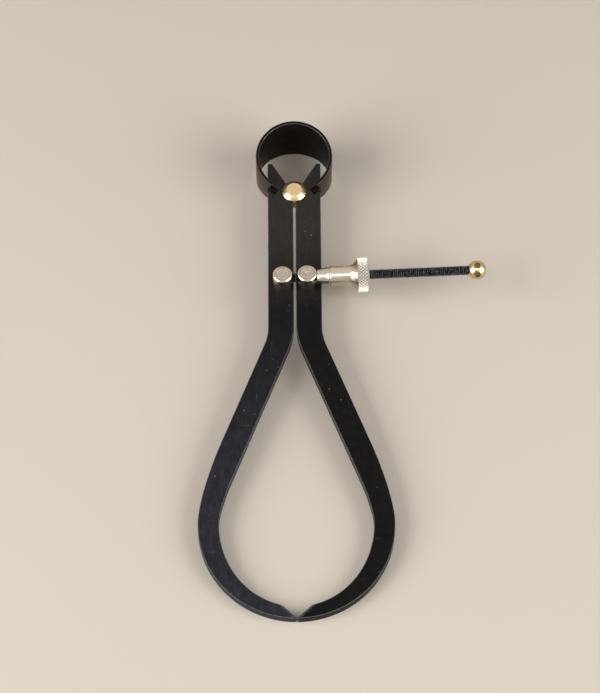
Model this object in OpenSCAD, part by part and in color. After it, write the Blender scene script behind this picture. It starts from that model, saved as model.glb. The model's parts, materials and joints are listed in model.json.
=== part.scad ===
/* [Legs] */
// Distance from the fulcrum to the measuring tips
reach = 152.4; // [135:0.1:180]
// Thickness of the leg plate
leg_t = 3; // [2:0.1:4]
// Width of the leg above the shoulder
leg_w = 8.2; // [7.6:0.1:9.5]
// Gap between the straight inner edges of the closed legs
leg_gap = 0.7; // [0.4:0.1:1.2]
// Distance from the fulcrum to the shoulder where the legs turn outwards
shoulder_y = 54.4; // [46:0.1:66]
// How much higher the outer edge turns at the shoulder than the inner edge
shoulder_step = 0.4; // [0:0.1:1]
// Radius on the hollow side of the shoulder
shoulder_r = 18; // [8:1:30]
// Width over the closed legs at their widest place
bow_w = 60.4; // [54:0.2:66]
// Height of the widest place above the tips
bow_rise = 32; // [26:0.5:38]
// Height above the widest place where the slanted outer edge would reach full width
hip_rise = 10; // [7:0.5:14]
// Leg width at the widest place
waist_w = 6.5; // [5:0.1:7.5]
// Leg width near the tips
toe_w = 4; // [3:0.1:5]
// Gap between the closed measuring tips
tip_gap = 0.3; // [0.2:0.1:1]
// Distance that the bevel behind each tip runs along X
tip_bevel = 4.1; // [3:0.1:5]
// Height of the flat end of each tip
tip_flat = 0.4; // [0.2:0.1:0.8]
// Chamfer on both faces of the leg along that bevel
tip_chamfer = 0.6; // [0.3:0.1:0.9]
// Length of the prongs beyond the fulcrum
prong_len = 11; // [8:0.5:12]
// Width of each prong's flat end
prong_end_w = 1.4; // [1:0.1:2.2]
// Angle between the centre line and the inner edge of each prong
prong_angle = 30.5; // [28:0.5:34]

/* [Fulcrum] */
// Diameter of the stud between its two heads
stud_d = 4.6; // [3.6:0.1:5]
// Diameter of the stud heads
stud_head_d = 7.8; // [7:0.1:9]
// Height of each stud head
stud_head_h = 1.5; // [1:0.1:2.5]
// Diameter of the flat on each stud head
stud_flat_d = 4.9; // [3.5:0.1:5.5]
// Straight rim of each stud head below its cone
stud_rim_h = 0.5; // [0.3:0.1:0.8]

/* [Bow spring] */
// Outer diameter of the bow spring
bow_d = 24.8; // [23:0.1:27]
// Thickness of the spring strip
bow_t = 1; // [0.8:0.1:1.2]
// Distance from the fulcrum to the middle of the bow spring
bow_y = 10.7; // [10:0.1:12]
// Width of the strip at the crown
bow_crown_w = 18.2; // [16:0.1:20]
// How far the middle of the strip hangs lower at the crown than at its ends
bow_sag = 0.7; // [0:0.1:1]
// Width of the strip at its ends
bow_end_w = 9.2; // [8:0.2:11]
// Angle from the centre line to the end of the strip's tongue
bow_end_angle = 30.4; // [29:0.1:32]
// Angle from the centre line to the horns of the strip on its rims
bow_horn_angle = 35; // [33.5:0.5:37]
// Angle from the centre line to the root of the strip's tongue
bow_root_angle = 43; // [41:0.5:45]
// Width of the strip's tongue
tongue_w = 2.4; // [1.6:0.1:2.8]
// Width of the notch in each leg at its bottom
notch_w = 2.3; // [2.1:0.1:2.6]
// Angle by which the lower side of the notch opens
notch_flare = 11.5; // [9:0.5:14]
// Angle by which the upper side of the notch opens
notch_rake = 4; // [2:0.5:8]
// Room between the tongue and the bottom of the notch
notch_room = 0.55; // [0.5:0.05:0.8]

/* [Posts] */
// Distance from the fulcrum to the middle of the posts
post_y = 34.43; // [28:0.01:42]
// Distance between the posts of the closed legs
post_gap = 7.8; // [7:0.1:9]
// How far the left post lies below the right one, which tilts the screw
post_shift = 0.33; // [0:0.01:0.4]
// Diameter of the posts
post_d = 6.1; // [5.6:0.1:6.6]
// Height of the posts above the legs
post_h = 5.65; // [5.4:0.05:6]
// Chamfer round the top of the posts
post_chamfer = 0.3; // [0.1:0.05:0.4]
// Diameter of the spigot that turns in the leg
spigot_d = 3; // [2.4:0.1:3.6]
// Diameter of the washer under each leg
washer_d = 5.6; // [4.8:0.1:6.4]
// Thickness of the washer under each leg
washer_t = 0.8; // [0.5:0.1:1.2]
// Height of the riveted end under each washer
rivet_h = 0.5; // [0.3:0.1:0.8]
// Chamfer on both ends of the hole in the right post
seat_w = 0.15; // [0.05:0.05:0.15]
// Depth of the pip in the top of the right post
pip_h = 0.15; // [0.1:0.05:0.3]

/* [Screw] */
// Outer diameter of the screw thread
screw_d = 3.2; // [2.9:0.1:3.3]
// Pitch of the screw thread
pitch = 0.6; // [0.5:0.05:0.8]
// Depth of the screw thread
thread_h = 0.3; // [0.15:0.05:0.35]
// Height of the screw above the legs
screw_h = 3.05; // [3.05:0.05:3.3]
// Length of the screw from the left post to the middle of the ball
screw_len = 62; // [58:0.1:70]
// Length of the screw's end inside the left post, past the post's middle
screw_tail = 1.6; // [1:0.1:2]
// Diameter of the ball
ball_d = 6.2; // [5:0.1:6.5]
// Diameter of the flat on both ends of the ball
ball_flat_d = 3; // [2.8:0.1:4]
// Diameter of the dimples round the ball
dimple_d = 2; // [1.2:0.1:2.1]
// Depth of the dimples round the ball
dimple_h = 0.8; // [0.4:0.1:1]
// Number of dimples round the ball
dimple_n = 6; // [4:1:6]
// Diameter of the pin that holds the screw in the left post
pin_d = 1.2; // [0.8:0.1:1.4]
// How far the pin reaches below the screw
pin_past = 0.3; // [0.2:0.05:0.5]
// How far inside the left post the thread starts
thread_in = 0.4; // [0.2:0.1:0.8]

/* [Nut] */
// Length of the tapered nose of the nut
nose_len = 4.1; // [3.5:0.1:5]
// Diameter of the nose at its free end
nose_d1 = 4.7; // [4.4:0.1:4.8]
// Diameter of the nose where it meets the sleeve
nose_d2 = 6; // [5.8:0.1:6.1]
// Diameter of the plain part of the sleeve
sleeve_d = 6.4; // [6.2:0.1:6.8]
// Length of the plain part of the sleeve
sleeve_len = 6.05; // [5:0.05:8]
// Length of the hollow flare of the sleeve
flare_len = 2.7; // [2.2:0.1:3.5]
// Diameter of the knurled flange
flange_d = 11; // [10:0.1:13]
// Length of the knurled flange
flange_len = 3.55; // [3.4:0.05:5]
// Chamfer on the knurled flange
flange_chamfer = 0.5; // [0.2:0.05:0.7]
// Diameter of the half nuts inside the sleeve
jaw_d = 4.6; // [4.5:0.1:4.7]
// Diameter of the collar behind the half nuts
collar_d = 6; // [5.6:0.1:6.2]
// Thickness of the collar behind the half nuts
collar_t = 1.3; // [1.1:0.1:1.5]
// Gap between the two half nuts
jaw_gap = 0.2; // [0.1:0.05:0.4]
// Wire diameter of the small spring between the half nuts
wire_d = 0.5; // [0.4:0.05:0.6]
// Thickness of the web between the neck of the half nuts and their small spring
collar_web = 0.4; // [0.3:0.05:0.6]
// Width of the step that seats the ring in the end of the sleeve
ring_step = 0.25; // [0.2:0.05:0.4]
// How far the ring stands out of the sleeve
ring_lip = 0.15; // [0.1:0.05:0.3]
// Turn of the nut about the screw
nut_turn = 33; // [0:1:90]

/* [Clearances] */
// Radial running clearance of legs, spigots and washers
run_c = 0.05; // [0.02:0.01:0.1]
// Radial clearance of the screw in the right post and in the nut
screw_c = 0.26; // [0.25:0.01:0.35]
// Clearance of pieces that are pressed or screwed together
seat_c = 0.02; // [0.01:0.01:0.03]
// Gap between the nose of the nut and the right post
nose_c = 0.08; // [0.05:0.01:0.2]
// Room round the half nuts in the sleeve
jaw_c = 0.35; // [0.3:0.05:0.4]
// Room behind the collar of the half nuts
ring_c = 0.3; // [0.2:0.05:0.5]
// Room between the spring strip and the sides of the notch past the tongue
strip_c = 0.3; // [0.2:0.05:0.4]

/* [Hidden] */
$fn = 64;

// Points along each long curve of a leg
steps = 24;
// How far a cutting solid runs past the faces that it opens
eps = 0.05;
// Reach of the solids that trim a whole piece
far = 100;
// Small break of an edge
edge_break = 0.15;

// The origin is on the fulcrum axis, at the underside of the stud
mid_z = stud_head_h + run_c + leg_t / 2;
top_z = mid_z + leg_t / 2;
low_z = mid_z - leg_t / 2;
stud_h = 2 * mid_z;

// Right leg
edge_in = leg_gap / 2;
edge_out = edge_in + leg_w;
turn_out = -shoulder_y + shoulder_step;
belly_y = bow_rise - reach;
belly_in = bow_w / 2 - waist_w;
belly_out = bow_w / 2;
inner_rise = bow_rise - toe_w;
prong_in = edge_out - prong_end_w;
prong_foot = prong_len - prong_in / tan(prong_angle);
// Both slanted edges lean as far as the outer one needs to reach the full width
splay = atan((belly_out - edge_out) / (turn_out - belly_y - hip_rise));
// The curve into the belly starts this many times its height before the two lines meet
hip_stretch = 2.1;
// How far that curve keeps to each of its two lines
hip_pull = 0.62;
tip_at = [tip_gap / 2, tip_flat - reach];
bevel_x = tip_at.x + tip_bevel;
bevel_turn = acos(bevel_x / belly_in);
bevel_at = [bevel_x, belly_y - inner_rise * sin(bevel_turn)];

// Bow spring
bow_r = bow_d / 2;
bow_mid_r = bow_r - bow_t / 2;
crown_y = bow_y + bow_r;
tongue_end = [bow_mid_r * sin(bow_end_angle), bow_y - bow_mid_r * cos(bow_end_angle)];
upper_rim = bow_crown_w / 2 - bow_sag;
lower_rim = bow_crown_w / 2 + bow_sag;
horn_run = bow_mid_r * (bow_root_angle - bow_horn_angle) * PI / 180;

// Posts and screw
left_post_at = [-post_gap / 2, -post_y - post_shift / 2];
right_post_at = [post_gap / 2, -post_y + post_shift / 2];
tilt = atan(post_shift / post_gap);
screw_z = top_z + screw_h;
screw_r = screw_d / 2;
root_r = screw_r - thread_h;
screw_hole_r = screw_r + screw_c;
thread_from = post_d / 2 - thread_in;
ball_face = screw_len - sqrt(pow(ball_d / 2, 2) - pow(ball_flat_d / 2, 2));
thread_n = floor((ball_face - thread_from) / pitch);
pin_low = screw_z - screw_r - pin_past;
pin_top = top_z + post_h;
// Turn of the dimples about the screw
dimple_turn = 3;

// Nut, as distances along the screw from the middle of the right post
nose_x = post_d / 2 + nose_c;
sleeve_x = nose_x + nose_len;
flare_x = sleeve_x + sleeve_len;
flange_x = flare_x + flare_len;
nut_x = flange_x + flange_len;
chamber_x = flange_x + edge_break;
collar_x = chamber_x + run_c;
collar_end = collar_x + collar_t;
ring_x = collar_end + ring_c;
mouth_r = jaw_d / 2 + jaw_c;
chamber_r = collar_d / 2 + jaw_c;
ring_r = chamber_r + ring_step;
nose_round = 0.2;
wire_r = wire_d / 2;
wire_ring_r = screw_hole_r + run_c + wire_r;
wire_room_r = wire_ring_r + wire_r + run_c;
// Angle that the small spring's wire covers
wire_turn = 300;

black = "#262524";
blued = "#1e1d1d";
nickel = "#cfc6b6";
brass = "#cda254";
steel = "#8f8c86";

function arc(c, r, a0, a1, n) =
    [for (i = [0:n]) let (a = a0 + (a1 - a0) * i / n) c + r * [cos(a), sin(a)]];
function bezier(p, q, r, s, n) =
    [for (i = [0:n]) let (t = i / n, u = 1 - t)
        u * u * u * p + 3 * u * u * t * q + 3 * u * t * t * r + t * t * t * s];
function belly(a, b, turn) =
    [for (i = [0:steps]) let (t = turn * i / steps) [a * cos(t), belly_y - b * sin(t)]];
function back(list) = [for (i = [len(list) - 1:-1:0]) list[i]];

// Bend of a straight edge from downwards to the slant, round a centre on its outer side
function shoulder(x, y, r) = arc([x + r, y + r * tan(splay / 2)], r, 180, 180 + splay, 8);

// Curve from the slanted edge through x and y to the upright at x2
function hip(x, y, x2) =
    let (meet = [x2, y - (x2 - x) / tan(splay)], rise = meet.y - belly_y,
         p = meet - hip_stretch * rise * [sin(splay), -cos(splay)],
         q = p + hip_pull * (meet - p), r = meet - (1 - hip_pull) * [0, rise])
    bezier(p, q, r, [x2, belly_y], steps);

outer_edge = concat(shoulder(edge_out, turn_out, shoulder_r),
                    hip(edge_out, turn_out, belly_out),
                    belly(belly_out, bow_rise, acos(tip_at.x / belly_out)));
inner_edge = concat(shoulder(edge_in, -shoulder_y, shoulder_r + leg_w),
                    hip(edge_in, -shoulder_y, belly_in),
                    belly(belly_in, inner_rise, bevel_turn));

// Notch for the spring's tongue, open at the outer edge of the leg
module notch() {
    low = notch_w / 2 + leg_w * tan(notch_flare);
    high = notch_w / 2 + leg_w * tan(notch_rake);
    translate(tongue_end) rotate(bow_end_angle) translate([-notch_room, 0])
        polygon([[0, notch_w / 2], [0, -notch_w / 2], [leg_w, -low], [leg_w, high]]);
    intersection() {
        translate([0, bow_y]) difference() {
            circle(r = bow_r + strip_c);
            circle(r = bow_r - bow_t - strip_c);
        }
        translate([tongue_end.x, bow_y - bow_d]) square(bow_d);
    }
}

module right_outline(at) {
    difference() {
        polygon(concat([[edge_in, 0], [edge_in, prong_foot + edge_in / tan(prong_angle)],
                        [prong_in, prong_len], [edge_out, prong_len]],
                       outer_edge, [tip_at], back(inner_edge)));
        circle(r = stud_d / 2 + run_c);
        translate(at) circle(r = spigot_d / 2 + run_c);
        notch();
    }
}

// Prism that takes the upper corner off the bevel behind the tip
module tip_cut() {
    run = bevel_at - tip_at;
    side = tip_chamfer * sqrt(2);
    translate([tip_at.x, tip_at.y, leg_t / 2]) rotate([0, 0, atan2(run.y, run.x)])
        rotate([45, 0, 0]) cube([4 * tip_bevel, side, side], center = true);
}

module leg(at) {
    color(black) translate([0, 0, mid_z]) difference() {
        translate([0, 0, -leg_t / 2]) linear_extrude(leg_t) right_outline(at);
        tip_cut();
        mirror([0, 0, 1]) tip_cut();
    }
}

module right_leg() { leg(right_post_at); }
module left_leg() { mirror([1, 0, 0]) leg([-left_post_at.x, left_post_at.y]); }

// One flange of the stud, with its face at the origin and its flat above
module stud_head() {
    cylinder(h = stud_rim_h, d = stud_head_d);
    translate([0, 0, stud_rim_h])
        cylinder(h = stud_head_h - stud_rim_h, d1 = stud_head_d, d2 = stud_flat_d);
}

module fulcrum_stud() {
    color(brass) {
        translate([0, 0, stud_head_h / 2]) cylinder(h = stud_h - stud_head_h, d = stud_d);
        translate([0, 0, stud_h - stud_head_h]) stud_head();
        translate([0, 0, stud_head_h]) mirror([0, 0, 1]) stud_head();
    }
}

// Everything above a rim of the strip, which slopes down from its height at the crown
module above_rim(rim) {
    slope = atan((rim - bow_end_w / 2) / (crown_y - tongue_end.y));
    translate([0, crown_y, rim]) rotate([slope, 0, 0])
        translate([-bow_d, -2 * bow_d, 0]) cube([2 * bow_d, 3 * bow_d, bow_crown_w]);
}

// Wedge beside the tongue, between its root and the horn on the upper rim
module fork_cut() {
    rise = (bow_end_w - tongue_w) / 2;
    run = horn_run * bow_crown_w / rise;
    translate([0, bow_y, 0]) rotate([0, 0, bow_root_angle])
        translate([0, -bow_r + 2 * bow_t, tongue_w / 2]) rotate([90, 0, 0]) linear_extrude(3 * bow_t)
            polygon([[0, 0], [-run, bow_crown_w], [-bow_d, bow_crown_w], [-bow_d, 0]]);
}

module half_bow() {
    raw_w = 2 * (lower_rim + bow_t);
    color(blued) translate([0, 0, mid_z]) difference() {
        translate([0, bow_y, 0]) rotate([0, 0, bow_end_angle - 90])
            rotate_extrude(angle = 180 - bow_end_angle)
                translate([bow_r - bow_t, -raw_w / 2]) square([bow_t, raw_w]);
        above_rim(upper_rim);
        mirror([0, 0, 1]) above_rim(lower_rim);
        fork_cut();
        mirror([0, 0, 1]) fork_cut();
    }
}

module bow_spring_right() { half_bow(); }
module bow_spring_left() { mirror([1, 0, 0]) half_bow(); }

// Places children that lie along +Z so that they lie along the screw from a post
module along_screw(at) {
    translate([at.x, at.y, screw_z]) rotate([0, 0, tilt]) rotate([0, 90, 0]) children();
}

module post_body(at) {
    low = low_z - run_c - washer_t;
    translate([at.x, at.y, 0]) {
        translate([0, 0, top_z + run_c])
            cylinder(h = post_h - run_c - post_chamfer, d = post_d);
        translate([0, 0, top_z + post_h - post_chamfer])
            cylinder(h = post_chamfer, d1 = post_d, d2 = post_d - 2 * post_chamfer);
        translate([0, 0, low - rivet_h / 2])
            cylinder(h = top_z + rivet_h + run_c - low, d = spigot_d);
        translate([0, 0, low - rivet_h])
            cylinder(h = rivet_h, d1 = spigot_d, d2 = (spigot_d + washer_d) / 2);
    }
}

module post_washer(at) {
    color(steel) translate([at.x, at.y, low_z - run_c - washer_t]) difference() {
        cylinder(h = washer_t, d = washer_d);
        translate([0, 0, -eps]) cylinder(h = washer_t + 2 * eps, d = spigot_d + 2 * seat_c);
    }
}

module left_post() {
    color(nickel) difference() {
        post_body(left_post_at);
        along_screw(left_post_at) translate([0, 0, -screw_tail - seat_c])
            cylinder(h = screw_tail + post_d, r = screw_r + seat_c);
        translate([left_post_at.x, left_post_at.y, pin_low])
            cylinder(h = far, r = pin_d / 2 + seat_c);
    }
}

module right_post() {
    color(nickel) difference() {
        post_body(right_post_at);
        along_screw(right_post_at) {
            translate([0, 0, -post_d]) cylinder(h = 2 * post_d, r = screw_hole_r);
            for (side = [0, 1]) mirror([0, 0, side]) translate([0, 0, post_d / 2 - seat_w])
                cylinder(h = seat_w + eps, r1 = screw_hole_r, r2 = screw_hole_r + seat_w + eps);
        }
        translate([right_post_at.x, right_post_at.y, pin_top - pip_h]) cylinder(h = far, d = pin_d);
    }
}

module left_post_washer() { post_washer(left_post_at); }
module right_post_washer() { post_washer(right_post_at); }

module screw_pin() {
    color(nickel) translate([left_post_at.x, left_post_at.y, pin_low])
        cylinder(h = pin_top - pin_low, d = pin_d);
}

module adjusting_screw() {
    // Each turn of the thread rises, has a narrow crest, falls and leaves a narrow root
    thread = [for (i = [0:thread_n - 1]) let (x = thread_from + i * pitch)
        each [[root_r, x], [screw_r, x + 0.4 * pitch], [screw_r, x + 0.55 * pitch],
              [root_r, x + 0.95 * pitch]]];
    color(blued) difference() {
        along_screw(left_post_at) rotate_extrude() polygon(concat(
            [[0, -screw_tail], [screw_r, -screw_tail], [screw_r, thread_from - thread_h]],
            thread, [[root_r, screw_len], [0, screw_len]]));
        translate([left_post_at.x, left_post_at.y, pin_low])
            cylinder(h = far, r = pin_d / 2 + seat_c);
    }
}

module ball_end() {
    color(brass) along_screw(left_post_at) translate([0, 0, screw_len]) difference() {
        sphere(d = ball_d);
        for (side = [0, 1]) mirror([0, 0, side]) translate([0, 0, screw_len - ball_face])
            cylinder(h = ball_d, d = ball_d);
        translate([0, 0, -ball_d]) cylinder(h = ball_d + seat_c, r = root_r + seat_c);
        for (i = [0:dimple_n - 1]) rotate([0, 0, dimple_turn + i * 360 / dimple_n]) rotate([0, -90, 0])
            translate([0, 0, ball_d / 2 - dimple_h]) cylinder(h = ball_d, d = dimple_d);
    }
}

module nut_sleeve() {
    r = sleeve_d / 2;
    rim_r = flange_d / 2;
    flare_r = rim_r - edge_break;
    flare = bezier([r, flare_x], [r, flare_x + flare_len / 2],
                   [(r + flare_r) / 2, flange_x - flare_len / 4], [flare_r, flange_x], 8);
    color(nickel) along_screw(right_post_at) rotate_extrude() polygon(concat(
        [[mouth_r, sleeve_x], [r - edge_break, sleeve_x], [r, sleeve_x + edge_break]], flare,
        [[rim_r, flange_x + edge_break], [rim_r, nut_x - flange_chamfer],
         [rim_r - flange_chamfer, nut_x], [ring_r, nut_x], [ring_r, ring_x],
         [chamber_r, ring_x], [chamber_r, chamber_x], [mouth_r, chamber_x]]));
}

module nut_end_ring() {
    r = ring_r - seat_c;
    color(nickel) along_screw(right_post_at) rotate_extrude() polygon([
        [screw_hole_r, ring_x], [r, ring_x], [r, nut_x], [r - ring_lip, nut_x + ring_lip],
        [screw_hole_r + ring_lip, nut_x + ring_lip], [screw_hole_r, nut_x]]);
}

// Both half nuts as one turned piece, before they are parted
module jaws() {
    neck_x = sleeve_x - run_c;
    web_x = collar_x + collar_web;
    rotate_extrude() polygon([
        [screw_hole_r, nose_x], [nose_d1 / 2 - nose_round, nose_x],
        [nose_d1 / 2, nose_x + nose_round], [nose_d2 / 2, neck_x],
        [jaw_d / 2, neck_x], [jaw_d / 2, collar_x], [collar_d / 2, collar_x],
        [collar_d / 2, collar_end], [wire_room_r, collar_end], [wire_room_r, web_x],
        [screw_hole_r, web_x]]);
}

module half_nut(side) {
    color(nickel) along_screw(right_post_at) rotate([0, 0, nut_turn + side]) difference() {
        jaws();
        translate([-jaw_gap / 2, -far / 2, 0]) cube([far, far, far]);
    }
}

module nut_jaw_upper() { half_nut(0); }
module nut_jaw_lower() { half_nut(180); }

// Open ring of wire that spreads the half nuts
module nut_jaw_spring() {
    color(steel) along_screw(right_post_at) rotate([0, 0, nut_turn + 180 - wire_turn / 2])
        translate([0, 0, collar_x + collar_web + run_c + wire_r])
            rotate_extrude(angle = wire_turn) translate([wire_ring_r, 0]) circle(r = wire_r);
}

fulcrum_stud();
left_leg();
right_leg();
bow_spring_left();
bow_spring_right();
left_post();
left_post_washer();
screw_pin();
adjusting_screw();
ball_end();
right_post();
right_post_washer();
nut_sleeve();
nut_jaw_upper();
nut_jaw_lower();
nut_jaw_spring();
nut_end_ring();
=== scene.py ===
"""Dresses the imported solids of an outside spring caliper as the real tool.

It is laid out as an add-on and is run as a script.
"""
import json
import math

import bmesh
import bpy
from mathutils import Matrix, Vector


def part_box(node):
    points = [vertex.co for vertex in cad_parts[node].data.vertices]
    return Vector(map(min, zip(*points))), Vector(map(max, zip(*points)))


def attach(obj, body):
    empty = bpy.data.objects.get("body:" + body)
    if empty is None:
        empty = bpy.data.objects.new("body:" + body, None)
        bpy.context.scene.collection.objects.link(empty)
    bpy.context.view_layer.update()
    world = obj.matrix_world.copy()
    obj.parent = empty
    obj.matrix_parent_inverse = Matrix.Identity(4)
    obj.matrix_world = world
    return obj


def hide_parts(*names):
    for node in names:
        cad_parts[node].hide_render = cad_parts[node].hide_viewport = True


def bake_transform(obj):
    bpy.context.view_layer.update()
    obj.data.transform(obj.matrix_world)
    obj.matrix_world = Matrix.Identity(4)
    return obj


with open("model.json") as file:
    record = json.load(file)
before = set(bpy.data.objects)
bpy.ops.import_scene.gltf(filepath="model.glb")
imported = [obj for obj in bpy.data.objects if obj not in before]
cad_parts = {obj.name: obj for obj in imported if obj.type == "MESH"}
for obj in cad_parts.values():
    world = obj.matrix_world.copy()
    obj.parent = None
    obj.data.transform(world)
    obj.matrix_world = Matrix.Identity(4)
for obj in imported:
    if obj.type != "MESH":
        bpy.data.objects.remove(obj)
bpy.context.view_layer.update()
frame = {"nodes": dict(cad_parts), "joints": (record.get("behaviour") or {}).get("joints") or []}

bl_info = {
    "name": "Outside spring caliper",
    "version": (1, 0, 0),
    "blender": (4, 5, 0),
    "location": "3D View > Sidebar > Caliper",
    "description": "Blacked legs, bow spring, turned stud and posts, screw and knurled quick nut",
    "category": "Object",
}

MM = 0.001


def middle(node):
    """Middle of a solid's box."""
    low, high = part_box(node)
    return (low + high) / 2


# Places that the solids and the joints give
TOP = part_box("left_leg")[1].z
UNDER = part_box("left_leg")[0].z
HALFWAY = (TOP + UNDER) / 2
STUD_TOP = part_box("fulcrum_stud")[1].z
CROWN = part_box("bow_spring_left")[1].y
LEFT_POST = middle("left_post_washer")
RIGHT_POST = middle("right_post_washer")
POST_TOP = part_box("left_post")[1].z
NUT_JOINT = next(joint for joint in frame["joints"] if joint["name"] == "nut_spin")
SCREW_DIR = Vector(NUT_JOINT["axis"]).normalized()
SCREW_Z = NUT_JOINT["pos_m"][2]
SCREW_TILT = math.atan2(SCREW_DIR.y, SCREW_DIR.x)
ALONG_SCREW = Matrix.Rotation(SCREW_TILT, 4, "Z") @ Matrix.Rotation(math.pi / 2, 4, "Y")
UPRIGHT = Matrix.Identity(4)
ORIGIN = Vector((0, 0, 0))


def screw_place(post):
    """Place on the screw's axis at the middle of a post."""
    return Vector((post.x, post.y, SCREW_Z))


# ---------------------------------------------------------------- sizes and colours

def length(name, what, default):
    return bpy.props.FloatProperty(name=name, description=what, default=default, min=0.0,
                                   unit="LENGTH", precision=5)


def count_of(name, what, default, least, most):
    return bpy.props.IntProperty(name=name, description=what, default=default, min=least,
                                 max=most)


def power(name, what, default):
    return bpy.props.FloatProperty(name=name, description=what, default=default, min=0.0,
                                   unit="POWER")


def tint(name, what, default):
    return bpy.props.FloatVectorProperty(name=name, description=what, default=default,
                                         subtype="COLOR", size=3, min=0.0, max=1.0)


class CaliperLegs(bpy.types.PropertyGroup):
    """Rounding and blacking of both legs"""
    edge: length("Edge rounding", "Width of the rounding on the edges of the legs", 0.2 * MM)
    colour: tint("Blacking", "Colour of the blacked steel", (0.0028, 0.0026, 0.0025))
    handled: tint("Handled blacking", "Colour where fingers have held the legs",
                  (0.030, 0.0255, 0.0215))
    hazy: tint("Hazy blacking", "Colour where the left leg has gone hazy", (0.025, 0.025, 0.0325))
    worn: tint("Worn edge", "Colour of the edges where the blacking is rubbed", (0.11, 0.12, 0.14))


class CaliperBow(bpy.types.PropertyGroup):
    """Rounding and blacking of the bow spring, and a bend that is not used"""
    edge: length("Edge rounding", "Width of the rounding on the rims of the strip", 0.16 * MM)
    bend: length("Bending part", "Half of the width over which the crown bends", 5 * MM)
    # The spring's brown tint is a painted reflection of a brown floor, laid over the blacked steel
    colour: tint("Spring steel", "Colour of the blacked spring strip", (0.020, 0.0105, 0.005))
    worn: tint("Worn rim", "Colour of the rims where the blacking is rubbed",
               (0.085, 0.086, 0.088))


class CaliperTurned(bpy.types.PropertyGroup):
    """Rounding and metals of the turned pieces"""
    edge: length("Edge rounding", "Radius on the edges of the turned pieces", 0.07 * MM)
    brass: tint("Brass", "Colour of the stud and of the ball", (0.82, 0.62, 0.34))
    nickel: tint("Nickel", "Colour of the posts and of the nut", (0.78, 0.69, 0.56))
    # The rim's colour is rubbed-through nickel, made lighter still as a painted highlight
    rim: tint("Post rim", "Colour of the posts' rim, where the nickel is rubbed through",
              (0.90, 0.77, 0.54))
    pin: tint("Pin", "Colour of the pin in the post", (0.66, 0.54, 0.45))


class CaliperScrew(bpy.types.PropertyGroup):
    """Sizes of the screw and its ball"""
    outer: length("Outer diameter", "Diameter over the thread", 3.2 * MM)
    depth: length("Thread depth", "Depth of the thread", 0.3 * MM)
    pitch: length("Pitch", "Distance between two turns of the thread", 0.6 * MM)
    reach: length("Length", "Length from the left post to the middle of the ball", 62 * MM)
    ball: length("Ball", "Diameter of the ball", 6.2 * MM)
    ball_flat: length("Ball flat", "Diameter of the flat on both ends of the ball", 3 * MM)
    dimple: length("Dimple", "Diameter of the dimples round the ball", 2 * MM)
    dimple_depth: length("Dimple depth", "Depth of the dimples round the ball", 0.8 * MM)


class CaliperNut(bpy.types.PropertyGroup):
    """Sizes and metals of the quick nut"""
    around: count_of("Diamonds", "Diamonds round the knurled flange", 32, 12, 60)
    rows: count_of("Rows", "Rows of diamonds along the knurled flange", 3, 1, 8)
    depth: length("Knurl depth", "Depth of the grooves between the diamonds", 0.3 * MM)
    slit: length("Slit", "Gap between the two half nuts", 0.2 * MM)
    # The diamonds' near-white is a lighter copy of the nickel, a painted highlight
    knurl: tint("Knurl", "Colour of the diamonds", (0.98, 0.94, 0.87))
    # The grooves' dark brown is painted shade in the hollows between the diamonds
    groove: tint("Knurl grooves", "Colour of the grooves between the diamonds",
                 (0.10, 0.060, 0.030))


class CaliperStage(bpy.types.PropertyGroup):
    """Floor, room and lamps"""
    floor: tint("Floor", "Colour of the floor", (0.66, 0.59, 0.50))
    horizon: tint("Horizon", "Colour of the room low down", (0.48, 0.45, 0.41))
    ceiling: tint("Ceiling", "Colour of the room overhead", (0.76, 0.74, 0.71))
    side_power: power("Side lamps", "Mean power of the side lamps", 7.2)
    top_power: power("Top lamp", "Power of the lamp overhead", 2.15)


# ---------------------------------------------------------------- modelling by hand

# Steps round a turned piece, and the angle up to which its edges shade as smooth
LATHE_STEPS, TURNED_ANGLE = 96, 24


def take(piece):
    """Makes a piece the only selected and active one."""
    bpy.ops.object.select_all(action="DESELECT")
    piece.select_set(True)
    bpy.context.view_layer.objects.active = piece
    return piece


def started(name):
    """Names the primitive just added and opens it in edit mode."""
    piece = bpy.context.object
    piece.name = piece.data.name = name
    take(piece)
    bpy.ops.object.mode_set(mode="EDIT")
    return piece


def pick(piece, kind, test):
    """Selects the vertices, edges or faces that pass a test, in edit mode."""
    kinds = ("verts", "edges", "faces")
    bpy.context.tool_settings.mesh_select_mode = tuple(kind == k for k in kinds)
    bpy.ops.mesh.select_all(action="DESELECT")
    mesh = bmesh.from_edit_mesh(piece.data)
    count = 0
    for item in getattr(mesh, kind):
        if test(item):
            item.select_set(True)
            count += 1
    bmesh.update_edit_mesh(piece.data)
    if not count:
        raise RuntimeError(f"nothing to select on {piece.name}")


def pick_all():
    """Selects the whole mesh, in edit mode."""
    bpy.context.tool_settings.mesh_select_mode = (True, False, False)
    bpy.ops.mesh.select_all(action="SELECT")


def slice_at(point, normal, **settings):
    """Cuts all of the mesh in edit mode with a plane."""
    pick_all()
    bpy.ops.mesh.bisect(plane_co=point, plane_no=normal, threshold=1e-8, **settings)


def pull(*step):
    """Extrudes what is selected by a step along X, Y and Z."""
    bpy.ops.mesh.extrude_region_move(TRANSFORM_OT_translate={"value": step})


def mid(face):
    """Middle of a face's corners."""
    return face.calc_center_median()


def closed(piece):
    """Leaves edit mode and makes sure that the piece has no open edge."""
    bpy.ops.object.mode_set(mode="OBJECT")
    mesh = bmesh.new()
    mesh.from_mesh(piece.data)
    open_edges = sum(1 for edge in mesh.edges if len(edge.link_faces) != 2)
    mesh.free()
    if open_edges:
        raise RuntimeError(f"{piece.name} has {open_edges} open edges")
    return piece


def modify(piece, kind, **settings):
    """Adds a modifier and applies it."""
    take(piece)
    modifier = piece.modifiers.new(kind.title(), kind)
    for key, value in settings.items():
        setattr(modifier, key, value)
    bpy.ops.object.modifier_apply(modifier=modifier.name)


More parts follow.
